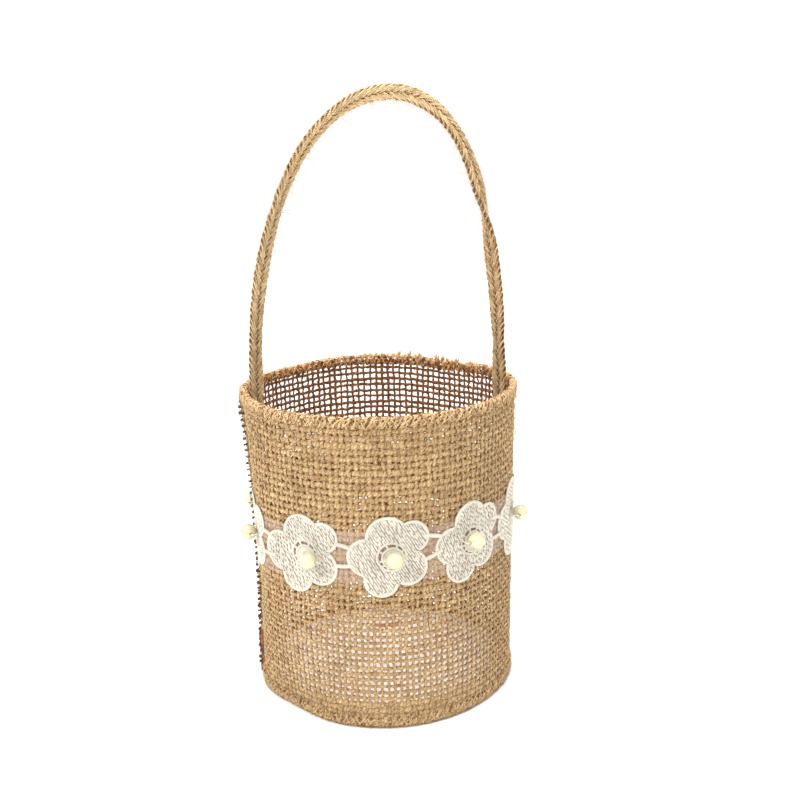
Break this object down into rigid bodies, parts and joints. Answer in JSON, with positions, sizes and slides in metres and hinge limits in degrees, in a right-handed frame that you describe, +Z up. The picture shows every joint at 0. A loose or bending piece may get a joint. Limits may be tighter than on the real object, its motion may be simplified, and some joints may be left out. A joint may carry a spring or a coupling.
{
  "type": "flower girl basket",
  "caption": "Small round burlap basket with a braided jute handle and a band of embroidered lace flowers with pearls, for carrying petals.",
  "frame": {"origin": "middle of the basket's base, on the surface it stands on", "axes": "+Z up along the basket's axis, -Y to the front, +X to the right; the handle's arch lies in the XZ plane"},
  "size_m": [0.1282, 0.1334, 0.26],
  "materials": {
    "burlap": "coarse open-weave natural jute, matte",
    "jute_thread": "overlocked jute yarn, matte",
    "jute_braid": "braided natural jute cord, matte with loose fibres",
    "board": "plain white stiffening board",
    "sheer_ribbon": "sheer organza net",
    "lace_thread": "ivory embroidery thread with a soft sheen",
    "pearl": "imitation pearl, soft lustre"
  },
  "bodies": {
    "basket": {"wall_burlap": "burlap", "side_seam_overlock": "jute_thread", "rim_overlock": "jute_thread", "base_burlap": "burlap", "base_overlock": "jute_thread", "base_board": "board", "handle_end_left": "jute_braid", "handle_end_right": "jute_braid", "handle_stitches_left": "jute_thread", "handle_stitches_right": "jute_thread", "lace_ribbon": "sheer_ribbon", "lace_bars": "lace_thread", "pearl_threads": "lace_thread", "lace_flower_1": "lace_thread", "lace_flower_2": "lace_thread", "lace_flower_3": "lace_thread", "lace_flower_4": "lace_thread", "lace_flower_5": "lace_thread", "lace_flower_6": "lace_thread", "lace_flower_7": "lace_thread", "lace_flower_8": "lace_thread", "lace_flower_9": "lace_thread", "lace_flower_10": "lace_thread"},
    "handle": {"handle_braid": "jute_braid"},
    "pearl_1": {"pearl_1": "pearl"},
    "pearl_2": {"pearl_2": "pearl"},
    "pearl_3": {"pearl_3": "pearl"},
    "pearl_4": {"pearl_4": "pearl"},
    "pearl_5": {"pearl_5": "pearl"},
    "pearl_6": {"pearl_6": "pearl"},
    "pearl_7": {"pearl_7": "pearl"},
    "pearl_8": {"pearl_8": "pearl"},
    "pearl_9": {"pearl_9": "pearl"},
    "pearl_10": {"pearl_10": "pearl"}
  },
  "joints": [
    {"name": "handle_swing", "type": "hinge", "parent": "basket", "child": "handle", "pos_m": [0, 0, 0.14], "axis": [1, 0, 0], "range_deg": [-90, 90]},
    {"name": "pearl_1_turn", "type": "hinge", "parent": "basket", "child": "pearl_1", "pos_m": [0.00467, -0.06323, 0.07801], "axis": [0.9973, 0.0736, 0], "continuous": true},
    {"name": "pearl_2_turn", "type": "hinge", "parent": "basket", "child": "pearl_2", "pos_m": [0.03845, -0.05041, 0.08047], "axis": [0.7951, 0.6064, 0], "continuous": true},
    {"name": "pearl_3_turn", "type": "hinge", "parent": "basket", "child": "pearl_3", "pos_m": [0.06056, -0.01876, 0.08068], "axis": [0.2959, 0.9552, 0], "continuous": true},
    {"name": "pearl_4_turn", "type": "hinge", "parent": "basket", "child": "pearl_4", "pos_m": [0.05842, 0.02463, 0.07841], "axis": [-0.3884, 0.9215, 0], "continuous": true},
    {"name": "pearl_5_turn", "type": "hinge", "parent": "basket", "child": "pearl_5", "pos_m": [0.0349, 0.05293, 0.07909], "axis": [-0.8348, 0.5505, 0], "continuous": true},
    {"name": "pearl_6_turn", "type": "hinge", "parent": "basket", "child": "pearl_6", "pos_m": [-0.00437, 0.06325, 0.07619], "axis": [-0.9976, -0.0689, 0], "continuous": true},
    {"name": "pearl_7_turn", "type": "hinge", "parent": "basket", "child": "pearl_7", "pos_m": [-0.03876, 0.05017, 0.07673], "axis": [-0.7913, -0.6114, 0], "continuous": true},
    {"name": "pearl_8_turn", "type": "hinge", "parent": "basket", "child": "pearl_8", "pos_m": [-0.06056, 0.01876, 0.07652], "axis": [-0.2959, -0.9552, 0], "continuous": true},
    {"name": "pearl_9_turn", "type": "hinge", "parent": "basket", "child": "pearl_9", "pos_m": [-0.05762, -0.02646, 0.07829], "axis": [0.4173, -0.9088, 0], "continuous": true},
    {"name": "pearl_10_turn", "type": "hinge", "parent": "basket", "child": "pearl_10", "pos_m": [-0.03045, -0.05561, 0.07601], "axis": [0.8771, -0.4803, 0], "continuous": true}
  ]
}
